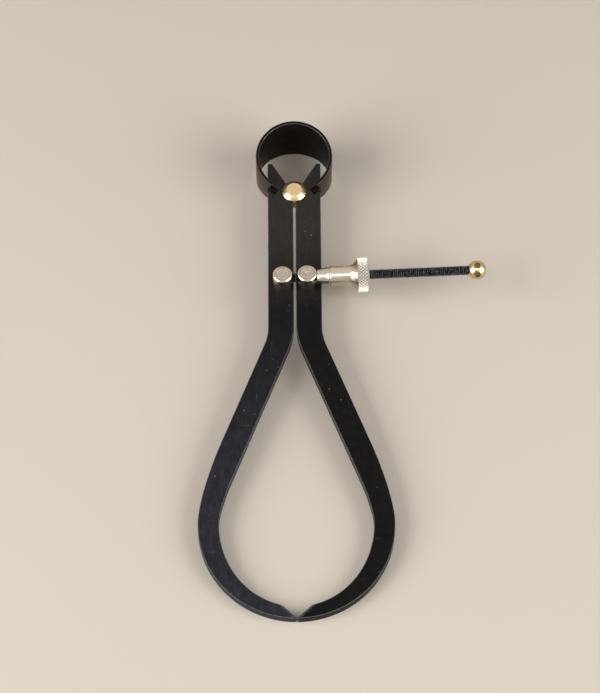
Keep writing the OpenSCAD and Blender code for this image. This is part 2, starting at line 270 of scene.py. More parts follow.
def smooth(piece, angle=32):
    """Shades a piece as smooth, apart from edges over an angle."""
    take(piece)
    bpy.ops.object.shade_smooth_by_angle(angle=math.radians(angle))


def put_in_place(piece, place, turn):
    """Turns and moves a piece, and leaves its object at the origin."""
    take(piece)
    piece.matrix_world = Matrix.Translation(place) @ turn
    bpy.ops.object.transform_apply(location=True, rotation=True, scale=True)


def single_point(name):
    """Starts a piece as one vertex at the origin, in edit mode."""
    bpy.ops.object.select_all(action="DESELECT")
    bpy.ops.mesh.primitive_plane_add(size=MM)
    piece = started(name)
    pick_all()
    bpy.ops.mesh.merge(type="CENTER")
    return piece


def turned(name, profile, rounding=0.0):
    """Spins a profile of radii and heights, in millimetres, about Z."""
    piece = single_point(name)
    at = ORIGIN.copy()
    for count, (radius, height) in enumerate(profile):
        step = Vector((radius, 0, height)) * MM - at
        if count:
            pull(*step)
        else:
            bpy.ops.transform.translate(value=step)
        at += step
    pick_all()
    bpy.ops.mesh.remove_doubles(threshold=1e-7)
    if rounding:
        pick(piece, "verts", lambda v: len(v.link_edges) == 2 and v.co.x > 1e-7)
        bpy.ops.mesh.bevel(offset=rounding, segments=3, affect="VERTICES", clamp_overlap=True)
    pick_all()
    bpy.ops.mesh.spin(steps=LATHE_STEPS, angle=2 * math.pi, center=(0, 0, 0), axis=(0, 0, 1))
    pick_all()
    bpy.ops.mesh.remove_doubles(threshold=1e-6)
    bpy.ops.mesh.normals_make_consistent(inside=False)
    return closed(piece)


def rod(name, radius, low, high, steps=48, tip=0.0):
    """A round rod along Z, for cutting, whose lower end may have a tip."""
    bpy.ops.object.select_all(action="DESELECT")
    bpy.ops.mesh.primitive_cylinder_add(vertices=steps, radius=radius, depth=high - low,
                                        location=(0, 0, (low + high) / 2))
    drill = take(bpy.context.object)
    drill.name = name
    if tip:
        # The end steps in by a fifth of the radius and then narrows to a tenth
        started(name)
        pick(drill, "faces", lambda f: f.normal.z < -0.9)
        bpy.ops.mesh.inset(thickness=radius * 0.2)
        pull(0, 0, -tip)
        bpy.ops.transform.resize(value=(0.1, 0.1, 1), center_override=(0, 0, 0))
        bpy.ops.object.mode_set(mode="OBJECT")
    bpy.ops.object.transform_apply(location=True, rotation=True, scale=True)
    return drill


def cut(piece, drill):
    """Cuts a drill out of a piece and clears the drill away."""
    modify(piece, "BOOLEAN", operation="DIFFERENCE", solver="EXACT", object=drill)
    bpy.data.objects.remove(drill)


def copy_of(node, name):
    """A merged copy of a solid, with flat faces whole again."""
    take(frame["nodes"][node])
    bpy.ops.object.duplicate()
    piece = bpy.context.object
    piece.name = piece.data.name = name
    for key in list(piece.keys()):
        del piece[key]
    take(piece)
    piece.parent = None
    piece.data.materials.clear()
    bpy.ops.object.mode_set(mode="EDIT")
    pick_all()
    bpy.ops.mesh.remove_doubles(threshold=1e-7)
    bpy.ops.mesh.dissolve_limited(angle_limit=math.radians(0.4))
    bpy.ops.object.mode_set(mode="OBJECT")
    return piece


def joined(first, *others):
    """Joins pieces to the first one."""
    take(first)
    for other in others:
        other.select_set(True)
    bpy.ops.object.join()
    return first


def finish_with(piece, *materials):
    """Gives a piece these materials and no others."""
    piece.data.materials.clear()
    for material in materials:
        piece.data.materials.append(material)


def worn_edges(piece, width, finish, wear):
    """Rounds the edges of a piece, and gives the rounding the worn finish."""
    finish_with(piece, finish, wear)
    modify(piece, "BEVEL", width=width, segments=2, limit_method="ANGLE",
           angle_limit=math.radians(28), use_clamp_overlap=False, material=1)


def assign(piece, slot):
    """Gives the faces selected in edit mode the material of a slot."""
    piece.active_material_index = slot
    bpy.ops.object.material_slot_assign()


def finish_part(piece, slot, test):
    """Gives the faces that pass a test the material of a slot."""
    take(piece)
    bpy.ops.object.mode_set(mode="EDIT")
    pick(piece, "faces", test)
    assign(piece, slot)
    bpy.ops.object.mode_set(mode="OBJECT")


# ---------------------------------------------------------------- finishes

# Colours of steel that shows through the blacking or was never blacked
SCRATCH = (0.085, 0.09, 0.10)
SPECK = (0.17, 0.165, 0.155)
BARE_STEEL = (0.30, 0.29, 0.27)
TURNED_STEEL = (0.42, 0.40, 0.37)
# Rubbed crests of the thread, lightened further as painted glints
RUBBED_CREST_AND_GLINT = (0.31, 0.33, 0.38)


class Nodes:
    """A node tree that is built up node by node."""

    def __init__(self, tree):
        self.tree = tree

    def add(self, kind, values=None, **settings):
        """Adds a node with these values on its sockets."""
        node = self.tree.nodes.new("ShaderNode" + kind)
        for key, value in settings.items():
            setattr(node, key, value)
        self.fill(node, values or {})
        return node

    def fill(self, node, values):
        """Links a node's sockets to other sockets, or sets them."""
        for key, value in values.items():
            socket = node.inputs[key]
            if isinstance(value, bpy.types.NodeSocket):
                self.tree.links.new(value, socket)
            elif socket.type == "RGBA":
                socket.default_value = (*value, 1)
            else:
                socket.default_value = value

    def ramp(self, value, low, high, bottom=0.0, top=1.0):
        """A value between low and high as one between bottom and top."""
        return self.add("MapRange", {"Value": value, "From Min": low, "From Max": high,
                                     "To Min": bottom, "To Max": top}).outputs["Result"]

    def mix(self, share, a, b):
        """Colour a, with a share of colour b."""
        return self.add("Mix", {0: share, 6: a, 7: b}, data_type="RGBA").outputs[2]

    def maths(self, operation, a, b=0.0):
        return self.add("Math", {0: a, 1: b}, operation=operation).outputs[0]

    def times(self, a, b):
        return self.maths("MULTIPLY", a, b)


class Finish(Nodes):
    """The nodes of a material, on the object's own coordinates."""

    def __init__(self, name):
        self.material = bpy.data.materials.new(name)
        self.material.use_nodes = True
        super().__init__(self.material.node_tree)
        self.shader = self.tree.nodes["Principled BSDF"]
        self.place = self.add("TexCoord").outputs["Object"]

    def noise(self, vector, scale, detail=2.0, roughness=0.5):
        return self.add("TexNoise", {"Vector": vector, "Scale": scale, "Detail": detail,
                                     "Roughness": roughness}).outputs["Fac"]

    def stretched(self, scale, turn=(0, 0, 0), place=(0, 0, 0)):
        return self.add("Mapping", {"Vector": self.place, "Scale": scale, "Rotation": turn,
                                    "Location": place}).outputs["Vector"]

    def round_axis(self, centre, turn):
        """Distance from an axis through a place, and distance along it."""
        local = self.add("Mapping", {"Vector": self.place, "Location": centre,
                                     "Rotation": turn.to_euler()}, vector_type="TEXTURE")
        parts = self.add("SeparateXYZ", {0: local.outputs["Vector"]}).outputs
        flat = self.add("CombineXYZ", {0: parts[0], 1: parts[1]}).outputs[0]
        radius = self.add("VectorMath", {0: flat}, operation="LENGTH").outputs["Value"]
        return radius, parts[2]

    def bump(self, height, distance, strength=1.0, under=None):
        values = {"Height": height, "Distance": distance, "Strength": strength}
        if under:
            values["Normal"] = under
        return self.add("Bump", values).outputs["Normal"]

    def surface(self, **values):
        """Sets the shader, and hands back the finished material."""
        names = {"colour": "Base Color", "metallic": "Metallic", "roughness": "Roughness",
                 "normal": "Normal", "specular": "Specular IOR Level",
                 "anisotropic": "Anisotropic", "across": "Anisotropic Rotation",
                 "tangent": "Tangent"}
        self.fill(self.shader, {names[key]: value for key, value in values.items()})
        return self.material


def shade(colour, amount):
    """A colour made darker or lighter."""
    return tuple(part * amount for part in colour)


def scratched(f, shape, turn, scale, least):
    """Fine scratches: noise that is drawn out one way and turned about Z."""
    drawn = f.noise(f.stretched(shape, (0, 0, turn)), scale, 1, 0.3)
    return f.ramp(drawn, least, least + 0.06)


def blacked_steel(name, colour, level, grain=(1, 1, 1), rough=0.33, hazes=()):
    """Satin blacking with mottling, light specks, fingermarks and fine scratches.

    Level is how much it mirrors, and grain stretches its mottling. Each haze is a colour,
    the two distances along Y between which it comes on, from none to full, and the share
    that is left between its streaks.
    """
    f = Finish(name)
    spread = f.stretched(grain)
    mottle = f.noise(spread, 420, 5, 0.62)
    fine = f.noise(spread, 2600, 3, 0.65)
    marks = f.noise(f.stretched((1, 1, 1), place=(0.3, 0.1, 0)), 45, 3, 0.55)
    # Bare specks, in less than half of the cells, each of its own size and strength
    cell = f.add("TexVoronoi", {"Vector": f.place, "Scale": 560.0, "Randomness": 1.0})
    chance = f.add("SeparateColor", {0: cell.outputs["Color"]}).outputs
    size = f.ramp(chance[0], 0.55, 1.0, 0.0, 0.16)
    specks = f.maths("GREATER_THAN", f.maths("SUBTRACT", size, cell.outputs["Distance"]))
    specks = f.times(specks, f.ramp(chance[1], 0.0, 1.0, 0.25, 1.0))
    scratches = f.maths("MAXIMUM", scratched(f, (1, 0.07, 1), 0.9, 2300, 0.76),
                        scratched(f, (0.06, 1, 1), 0.35, 2100, 0.77))
    base = f.mix(f.ramp(mottle, 0.34, 0.68), shade(colour, 0.4), shade(colour, 1.9))
    base = f.mix(f.times(f.ramp(fine, 0.5, 0.72), 0.8), base, shade(colour, 3.4))
    along = f.add("SeparateXYZ", {0: f.place}).outputs[1]
    streaks = f.noise(f.stretched((1, 0.3, 1)), 640, 4, 0.6)
    for haze, none, full, between in hazes:
        reach = f.ramp(along, min(none, full), max(none, full), float(none > full),
                       float(none < full))
        base = f.mix(f.times(reach, f.ramp(streaks, 0.36, 0.64, between)), base, haze)
    base = f.mix(f.times(scratches, 0.5), base, SCRATCH)
    base = f.mix(f.times(specks, 0.8), base, SPECK)
    roughness = f.ramp(marks, 0.32, 0.68, rough - 0.08, rough + 0.10)
    roughness = f.maths("SUBTRACT", roughness, f.times(scratches, 0.1))
    normal = f.bump(fine, 1.0e-5, 0.6)
    normal = f.bump(mottle, 2.4e-5, 0.5, normal)
    return f.surface(colour=base, metallic=0.0, roughness=roughness, normal=normal,
                     specular=level)


def rubbed_edge(name, colour):
    """Edge where the blacking is rubbed thin, with bare steel showing in places."""
    f = Finish(name)
    wear = f.noise(f.place, 900, 4, 0.6)
    nicks = f.ramp(f.noise(f.place, 4200, 2, 0.5), 0.60, 0.72)
    base = f.mix(f.ramp(wear, 0.36, 0.68), shade(colour, 0.35), shade(colour, 1.25))
    base = f.mix(f.times(nicks, f.ramp(wear, 0.45, 0.7)), base, BARE_STEEL)
    return f.surface(colour=base, metallic=f.ramp(wear, 0.3, 0.7, 0.3, 0.85),
                     roughness=f.ramp(nicks, 0.0, 1.0, 0.42, 0.3), specular=0.5,
                     normal=f.bump(wear, 1.2e-5, 0.5))


def turned_metal(name, colour, centre, turn, rough=0.24, groove=1.0, ring=0.86, spread=0.8,
                 axis="Z"):
    """Metal off the lathe: fine grooves round its axis, handling marks and a little tarnish.

    Ring is the shade of the darker rings, and spread is how far the grooves stretch a
    reflection across them.
    """
    f = Finish(name)
    radius, along = f.round_axis(centre, turn)
    lathe = f.add("CombineXYZ", {0: radius, 1: along}).outputs[0]
    fine = f.noise(lathe, 7000, 3, 0.65)
    wide = f.noise(lathe, 1500, 2, 0.5)
    smudge = f.noise(f.place, 520, 4, 0.6)
    spots = f.ramp(f.noise(f.place, 2600, 2, 0.5), 0.66, 0.76)
    base = f.mix(f.ramp(wide, 0.35, 0.65), shade(colour, ring), colour)
    base = f.mix(f.ramp(smudge, 0.45, 0.8), base, shade(colour, 0.94))
    base = f.mix(f.times(spots, 0.25), base, shade(colour, 0.5))
    roughness = f.maths("ADD", f.ramp(smudge, 0.3, 0.75, rough - 0.02, rough + 0.04),
                        f.times(fine, 0.05))
    normal = f.bump(fine, 3.0e-6 * groove, 0.9)
    normal = f.bump(wide, 1.4e-5 * groove, 0.8, normal)
    tangent = f.add("Tangent", direction_type="RADIAL", axis=axis).outputs[0]
    return f.surface(colour=base, metallic=1.0, roughness=roughness, normal=normal,
                     anisotropic=spread, across=0.25, tangent=tangent)


def polished_brass(name, colour):
    """Bright ball of brass with faint tarnish and hairlines."""
    f = Finish(name)
    haze = f.noise(f.place, 620, 4, 0.6)
    hair = f.noise(f.stretched((0.08, 1, 1)), 9000, 2, 0.5)
    base = f.mix(f.ramp(haze, 0.40, 0.74), colour, shade(colour, 0.66))
    return f.surface(colour=base, metallic=1.0,
                     roughness=f.ramp(haze, 0.3, 0.75, 0.13, 0.27),
                     normal=f.bump(hair, 1.5e-6, 0.7))


def drilled_brass(name):
    """Dull brown of a drilled dimple."""
    f = Finish(name)
    rings = f.noise(f.place, 3800, 3, 0.6)
    base = f.mix(f.ramp(rings, 0.35, 0.7), (0.16, 0.12, 0.065), (0.30, 0.235, 0.13))
    return f.surface(colour=base, metallic=0.75, roughness=f.ramp(rings, 0.3, 0.7, 0.4, 0.6),
                     normal=f.bump(rings, 1.5e-5, 0.7))


def cut_thread(name, centre, turn, crest):
    """Blacked thread whose crests are rubbed to a blue grey, made lighter still as painted glints.
    """
    f = Finish(name)
    radius = f.round_axis(centre, turn)[0]
    rub = f.noise(f.place, 1500, 3, 0.6)
    high = f.times(f.ramp(radius, crest - 0.06 * MM, crest), f.ramp(rub, 0.40, 0.60))
    oil = f.noise(f.place, 4200, 3, 0.6)
    base = f.mix(f.ramp(oil, 0.35, 0.7), (0.0022, 0.0022, 0.0025), (0.006, 0.006, 0.007))
    base = f.mix(high, base, RUBBED_CREST_AND_GLINT)
    return f.surface(colour=base, metallic=f.ramp(high, 0, 1, 0.15, 0.85),
                     roughness=f.ramp(rub, 0.3, 0.7, 0.22, 0.36), specular=0.2,
                     normal=f.bump(oil, 5e-6, 0.6))


# ---------------------------------------------------------------- pieces

# Each haze on the legs: where it comes on along Y, from none to full, and the share of it
# that is left between its streaks
HANDLED = (-0.046, -0.016, 0.72)
HAZY = (-0.040, -0.104, 0.45)
# The notches of the legs lie past this X, and within this Y
NOTCH_FROM, NOTCH_WIDE = 4.4 * MM, 3.2 * MM


class CALIPER_OT_legs(bpy.types.Operator):
    """Both legs with rounded, rubbed edges and satin blacking"""
    bl_idname = "caliper.legs"
    bl_label = "Legs"

    def execute(self, context):
        look = context.scene.caliper_legs
        wear = rubbed_edge("rubbed_leg_edge", look.worn)
        # Handled most above the posts; the bowed part of the left leg has also gone hazy
        handled, hazy = (look.handled, *HANDLED), (look.hazy, *HAZY)
        for side, hazes in (("left", (handled, hazy)), ("right", (handled,))):
            leg = copy_of(f"{side}_leg", f"blacked_{side}_leg")
            blacking = blacked_steel(f"blacked_{side}", look.colour, 0.11, hazes=hazes)
            worn_edges(leg, look.edge, blacking, wear)
            # Nothing rubs the edges of the notch in which the spring sits
            finish_part(leg, 0, lambda f: abs(mid(f).x) > NOTCH_FROM
                        and abs(mid(f).y) < NOTCH_WIDE)
            smooth(leg)
            # The broad faces shade as flat, in spite of the rounding beside them
            modify(leg, "WEIGHTED_NORMAL", keep_sharp=True)
            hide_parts(f"{side}_leg")
            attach(leg, f"{side}_leg")
        return {"FINISHED"}


# The bow's outer radius, and the radii that part its rims from its outside and its inside
BOW_RADIUS, RIM_FROM, INSIDE_TO = 12.4 * MM, 11.9 * MM, 11.5 * MM
# Heights from the middle of the strip past which a rim is rubbed, and to which a tongue
# reaches, and the Y at which the tongues end
RUBBED_FROM, TONGUE_WIDE, TONGUE_END = 4.2 * MM, 1.3 * MM, 3.5 * MM


class CALIPER_OT_bow_spring(bpy.types.Operator):
    """The bow spring as the one strip that it is"""
    bl_idname = "caliper.bow_spring"
    bl_label = "Bow spring"

    def execute(self, context):
        look = context.scene.caliper_bow
        halves = []
        for side in ("left", "right"):
            half = copy_of(f"bow_spring_{side}", f"half_bow_{side}")
            # The halves meet at X 0 and lose the faces there
            bpy.ops.object.mode_set(mode="EDIT")
            pick(half, "faces", lambda f: max(abs(v.co.x) for v in f.verts) < 1e-6)
            bpy.ops.mesh.delete(type="FACE")
            bpy.ops.object.mode_set(mode="OBJECT")
            halves.append(half)
        strip = joined(*halves)
        strip.name = strip.data.name = "bow_spring_strip"
        bpy.ops.object.mode_set(mode="EDIT")
        pick_all()
        bpy.ops.mesh.remove_doubles(threshold=1e-6)
        closed(strip)
        grain = (0.25, 0.25, 1.8)
        # The outside takes the spring's colour, whose brown tint is a painted reflection of a
        # brown floor
        worn_edges(strip, look.edge,
                   blacked_steel("blacked_spring", look.colour, 0.36, grain, 0.32),
                   rubbed_edge("rubbed_spring_rim", look.worn))
        # A darker copy of the spring's blacking: painted shade for the inside of the bow and the
        # tongues
        strip.data.materials.append(blacked_steel("blacked_spring_inside",
                                                  shade(look.colour, 0.2), 0.11, grain, 0.45))
        bow_middle = CROWN - BOW_RADIUS

        def radius(face):
            return math.hypot(mid(face).x, mid(face).y - bow_middle)

        # Only the inner corner of the rims is rubbed bright, and no part of the tongues. The
        # inside of the bow and the broad faces of the tongues get a darker, duller copy of the
        # blacking, as painted shade.
        finish_part(strip, 0, lambda f: abs(mid(f).z - HALFWAY) < RUBBED_FROM
                    or radius(f) > RIM_FROM)
        finish_part(strip, 2, lambda f: f.material_index == 0
                    and (radius(f) < INSIDE_TO or mid(f).y < TONGUE_END
                         and max(abs(v.co.z - HALFWAY) for v in f.verts) < TONGUE_WIDE))
        smooth(strip)
        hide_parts("bow_spring_left", "bow_spring_right")
        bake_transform(strip)
        return {"FINISHED"}


class CALIPER_OT_stud(bpy.types.Operator):
    """The turned brass stud, a spool with two coned heads"""
    bl_idname = "caliper.stud"
    bl_label = "Stud"

    def execute(self, context):
        look = context.scene.caliper_turned
        high = STUD_TOP / MM
        # In millimetres: half of the upper head, of which the lower one is the mirror image
        neck, rim, flat, under, slope = 2.3, 3.9, 2.45, high - 1.5, high - 1.0
        head = [(neck, under), (rim, under), (rim, slope), (flat, high)]
        profile = [(0, 0)] + [(r, high - z) for r, z in reversed(head)] + head + [(0, high)]
        stud = turned("turned_stud", profile, look.edge)
        smooth(stud, TURNED_ANGLE)
        # The faced flats take a lighter copy of the brass, as painted light on the upward face
        finish_with(stud, turned_metal("polished_stud", look.brass, ORIGIN, UPRIGHT, 0.17, 0.3,
                                       spread=1.0),
                    turned_metal("faced_stud", shade(look.brass, 1.14), ORIGIN, UPRIGHT, 0.27,
                                 2.2, ring=0.84))
        finish_part(stud, 1, lambda f: abs(f.normal.z) > 0.999)
        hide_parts("fulcrum_stud")
        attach(stud, "stud")
        return {"FINISHED"}


# On top of a post: depth of its sloped rim and of its pip, and how far the pip reaches
RIM_DEPTH, PIP_DEPTH, PIP_REACH = 0.4 * MM, 0.3 * MM, 0.75 * MM


class CALIPER_OT_posts(bpy.types.Operator):
    """Both turned posts with their bores, the pin, and the washers under the legs"""
    bl_idname = "caliper.posts"
    bl_label = "Posts"

    def execute(self, context):
        look = context.scene.caliper_turned
        low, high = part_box("left_post")[0].z / MM, POST_TOP / MM
        neck, riveted, rim, pip, seat = 1.5, 2.15, 3.05, 0.62, TOP / MM + 0.05
        outline = [(0, low), (neck, low), (riveted, low + 0.5), (neck, low + 0.5), (neck, seat),
                   (rim, seat), (rim, high - 0.3), (rim - 0.3, high)]
        steel = turned_metal("turned_steel", TURNED_STEEL, ORIGIN, UPRIGHT, 0.36)
        # In millimetres: the bore's radius, where it starts, and how deep the top is drilled
        for side, body, at, bore, start, well in (
                ("left", "screw_unit", LEFT_POST, 1.62, -1.65, 1.2),
                ("right", "right_post", RIGHT_POST, 1.86, -4, 0.15)):
            foot = Vector((at.x, at.y, 0))
            post = turned(f"{side}_turned_post", outline + [
                (pip, high), (pip, high - well), (0, high - well)], look.edge)
            put_in_place(post, foot, UPRIGHT)
            drill = rod("bore", bore * MM, start * MM, 4 * MM)
            put_in_place(drill, screw_place(at), ALONG_SCREW)
            cut(post, drill)
            smooth(post, TURNED_ANGLE)
            finish_with(
                post,
                turned_metal(f"turned_nickel_{side}", look.nickel, foot, UPRIGHT, 0.2, 0.5,
                             spread=0.5),
                turned_metal(f"faced_nickel_{side}", shade(look.nickel, 0.9), foot, UPRIGHT,
                             0.25, 3.0, ring=0.66),
                turned_metal(f"rubbed_rim_{side}", look.rim, foot, UPRIGHT, 0.2, 0.3, spread=0.0),
                turned_metal(f"pin_metal_{side}", look.pin, foot, UPRIGHT, 0.34))
            # The faced top, in a darker copy of the nickel as painted shade, the sloped rim round
            # it and the pip in its middle
            finish_part(post, 1, lambda f: abs(f.normal.z) > 0.999 and mid(f).z > TOP + 1 * MM)
            # The sloped rim: rubbed-through nickel, lightened as a painted highlight
            finish_part(post, 2, lambda f: 0.1 < f.normal.z < 0.98
                        and mid(f).z > POST_TOP - RIM_DEPTH)
            finish_part(post, 3, lambda f: mid(f).z > POST_TOP - PIP_DEPTH
                        and (mid(f).xy - foot.xy).length < PIP_REACH)
            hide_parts(f"{side}_post")
            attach(post, body)
            finish_with(frame["nodes"][f"{side}_post_washer"], steel)
        pin_low, pin_high, pin_radius = 5.7, high - 0.02, 0.6
        pin = turned("post_pin", [(0, pin_low), (pin_radius, pin_low), (pin_radius, pin_high),
                                  (0, pin_high)], look.edge)
        put_in_place(pin, Vector((LEFT_POST.x, LEFT_POST.y, 0)), UPRIGHT)
        smooth(pin, TURNED_ANGLE)
        finish_with(pin, bpy.data.materials["pin_metal_left"])
        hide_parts("screw_pin")
        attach(pin, "screw_unit")
        return {"FINISHED"}


# Distances from the left post's axis: where the thread and where the plain end begin
THREAD_START, SCREW_START = 2.3037 * MM, -1.6 * MM
# The last bit before the ball has no thread, and the spigot in the ball is thinner
PLAIN_END, SPIGOT = 0.1 * MM, 0.74
THREAD_STEPS = 30


def ball_face(look):
    """Distance from the middle of the ball to the flats on its ends."""
    return math.sqrt(look.ball ** 2 - look.ball_flat ** 2) / 2


class CALIPER_OT_screw(bpy.types.Operator):
    """The adjusting screw with its cut thread"""
    bl_idname = "caliper.screw"
    bl_label = "Screw"

    def execute(self, context):
        look = context.scene.caliper_screw
        crest, pitch = look.outer / 2, look.pitch
        stop = look.reach - ball_face(look)
        thread_end = stop - PLAIN_END
        turns = math.ceil((stop - THREAD_START) / pitch) + 2
        screw = single_point("threaded_screw")
        bpy.ops.transform.translate(value=(crest - look.depth, 0, THREAD_START - pitch))
        # One turn of the thread's outline: up, along the crest, down, and along the root
        for out, along in ((look.depth, 0.4), (0, 0.15), (-look.depth, 0.4), (0, 0.05)):
            pull(out, 0, along * pitch)
        bpy.ops.object.mode_set(mode="OBJECT")
        modify(screw, "SCREW", angle=2 * math.pi, screw_offset=pitch, iterations=turns,
               steps=THREAD_STEPS, render_steps=THREAD_STEPS, axis="Z",
               use_merge_vertices=True, merge_threshold=1e-6)
        bpy.ops.object.mode_set(mode="EDIT")
        pick_all()
        bpy.ops.mesh.remove_doubles(threshold=1e-6)
        slice_at((0, 0, THREAD_START), (0, 0, 1), use_fill=True, clear_inner=True)
        slice_at((0, 0, thread_end), (0, 0, 1), use_fill=True, clear_outer=True)
        # The plain end inside the left post, and the spigot inside the ball
        pick(screw, "faces", lambda f: abs(mid(f).z - THREAD_START) < 1e-6
             and abs(f.normal.z) > 0.99)
        pull(0, 0, SCREW_START - THREAD_START)
        pick(screw, "faces", lambda f: abs(mid(f).z - thread_end) < 1e-6
             and abs(f.normal.z) > 0.99)
        pull(0, 0, PLAIN_END)
        bpy.ops.transform.resize(value=(SPIGOT, SPIGOT, 1), center_override=(0, 0, 0))
        pull(0, 0, look.reach - stop)
        pick_all()
        bpy.ops.mesh.normals_make_consistent(inside=False)
        closed(screw)
        put_in_place(screw, screw_place(LEFT_POST), ALONG_SCREW)
        smooth(screw, 28)
        finish_with(screw, cut_thread("blacked_thread", screw_place(LEFT_POST), ALONG_SCREW,
                                      crest))
        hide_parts("adjusting_screw")
        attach(screw, "screw_unit")
        return {"FINISHED"}


DIMPLES, FIRST_DIMPLE, DIMPLE_TIP = 6, 3, 0.15 * MM
# A face belongs to a dimple where it lies this deep, and within this share of the radius
# from the ball's equator
DIMPLE_FROM, DIMPLE_BAND = 0.03 * MM, 0.6


class CALIPER_OT_ball(bpy.types.Operator):
    """The dimpled brass ball on the end of the screw"""
    bl_idname = "caliper.ball"
    bl_label = "Ball"

    def execute(self, context):
        look, brass = context.scene.caliper_screw, context.scene.caliper_turned.brass
        radius = look.ball / 2
        bpy.ops.object.select_all(action="DESELECT")
        bpy.ops.mesh.primitive_uv_sphere_add(segments=72, ring_count=48, radius=radius)
        ball = started("dimpled_ball")
        for side in (-1, 1):
            slice_at((0, 0, side * ball_face(look)), (0, 0, side), use_fill=True,
                     clear_outer=True)
        closed(ball)
        finish_with(ball, polished_brass("polished_brass", brass), drilled_brass("drilled_brass"))
        drills = []
        for count in range(DIMPLES):
            angle = math.radians(FIRST_DIMPLE + 360 / DIMPLES * count)
            turn = Matrix.Rotation(angle, 4, "Z")
            drill = rod("drill", look.dimple / 2, radius - look.dimple_depth, 2 * radius, 40,
                        DIMPLE_TIP)
            put_in_place(drill, ORIGIN, turn @ Matrix.Rotation(-math.pi / 2, 4, "Y"))
            drills.append(drill)
        cut(ball, joined(*drills))
        finish_part(ball, 1, lambda f: mid(f).length < radius - DIMPLE_FROM
                    and abs(mid(f).z) < radius * DIMPLE_BAND)
        put_in_place(ball, screw_place(LEFT_POST) + SCREW_DIR * look.reach, ALONG_SCREW)
        smooth(ball, 35)
        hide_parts("ball_end")
        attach(ball, "screw_unit")
        return {"FINISHED"}


# Insets of the diamonds: how far in, in millimetres, and the share of the rise. The first
# leaves a flat groove, and then whole diamonds rise in three steps and half ones in two.
WHOLE_DIAMOND = ((0.11, 0.0), (0.07, 0.5), (0.06, 0.32), (0.05, 0.18))
HALF_DIAMOND = ((0.08, 0.0), (0.05, 0.55), (0.04, 0.3))
# Shares: of a row squared, the least face that is a diamond, and of the radius, the inside
LEAST_DIAMOND, BAND_INSIDE = 0.05, 0.93


def knurled_band(radius, low, high, look, metals):
    """A ring of raised diamonds between two crossing sets of grooves."""
    row = (high - low) / look.rows
    bpy.ops.object.select_all(action="DESELECT")
    bpy.ops.mesh.primitive_cylinder_add(vertices=look.around, radius=radius - look.depth,
                                        depth=high - low, end_fill_type="NOTHING",
                                        location=(0, 0, (low + high) / 2))
    band = take(bpy.context.object)
    bpy.ops.object.transform_apply(location=True, rotation=True, scale=True)
    finish_with(band, *metals)
    started("knurled_band")
    for count in range(1, look.rows):
        slice_at((0, 0, low + count * row), (0, 0, 1))
    pick_all()
    bpy.ops.mesh.poke()
    # The sides of each square rise by nothing or a whole row and go. The lines through its
    # middle rise by half a row, and stay as the middles of the grooves.
    pick(band, "edges", lambda e: len(e.link_faces) == 2
         and not row * 0.25 < abs(e.verts[0].co.z - e.verts[1].co.z) < row * 0.75)
    bpy.ops.mesh.dissolve_edges(use_verts=False)
    pick(band, "faces", lambda f: True)
    assign(band, 1)
    for corners, steps in ((4, WHOLE_DIAMOND), (3, HALF_DIAMOND)):
        pick(band, "faces", lambda f: len(f.verts) == corners and f.material_index == 1
             and f.calc_area() > LEAST_DIAMOND * row ** 2)
        for step, (across, rise) in enumerate(steps):
            bpy.ops.mesh.inset(thickness=across * MM, depth=look.depth * rise,
                               use_individual=True)
            if not step:
                assign(band, 0)
    # The ring's inner wall
    pick(band, "edges", lambda e: e.is_boundary)
    pull(0, 0, 0)
    bpy.ops.transform.resize(value=(BAND_INSIDE, BAND_INSIDE, 1), center_override=(0, 0, 0))
    bpy.ops.mesh.bridge_edge_loops()
    pick_all()
    bpy.ops.mesh.normals_make_consistent(inside=False)
    return closed(band)


# Profiles of the nut, in millimetres: radius, and distance from the right post's axis.
# The flare is a curve between its first and last point, drawn by the two others.
SLEEVE_FRONT = [(2.65, 7.23), (3.0, 7.23), (3.1, 7.27), (3.17, 7.36), (3.2, 7.48)]
FLARE = ((3.2, 13.28), (3.2, 14.63), (4.275, 15.24), (5.35, 15.9))
SLEEVE_BACK = [(5.4, 15.95), (5.4, 15.98), (5.15, 16.0), (5.15, 19.36), (5.24, 19.38),
               (5.24, 19.42), (5.12, 19.53), (3.6, 19.53), (3.6, 17.78), (3.35, 17.78),
               (3.35, 16.13), (2.65, 16.13), (2.65, 7.23)]
KNURL_RADIUS, KNURL_LOW, KNURL_HIGH = 5.5 * MM, 15.97 * MM, 19.4 * MM
HALF_NUTS = [(1.86, 3.13), (2.15, 3.13), (2.28, 3.17), (2.35, 3.33), (2.62, 4.8), (2.66, 4.84),
             (2.68, 5.0), (2.95, 6.75), (2.98, 6.8), (3.0, 7.18), (2.3, 7.18), (2.3, 16.18),
             (3.0, 16.18), (3.0, 17.48), (2.46, 17.48), (2.46, 16.58), (1.86, 16.58),
             (1.86, 3.13)]
END_RING = [(1.86, 17.78), (3.58, 17.78), (3.58, 19.53), (3.43, 19.68), (2.01, 19.68),
            (1.86, 19.53), (1.86, 17.78)]
# Turn of the upper half nut about the screw, in degrees
JAW_TURN = 33


def curve(ends, steps):
    """Points on the curve that four points draw."""
    points = []
    for count in range(steps + 1):
        t = count / steps
        shares = ((1 - t) ** 3, 3 * (1 - t) ** 2 * t, 3 * (1 - t) * t ** 2, t ** 3)
        points.append(tuple(sum(share * end[k] for share, end in zip(shares, ends))
                            for k in (0, 1)))
    return points


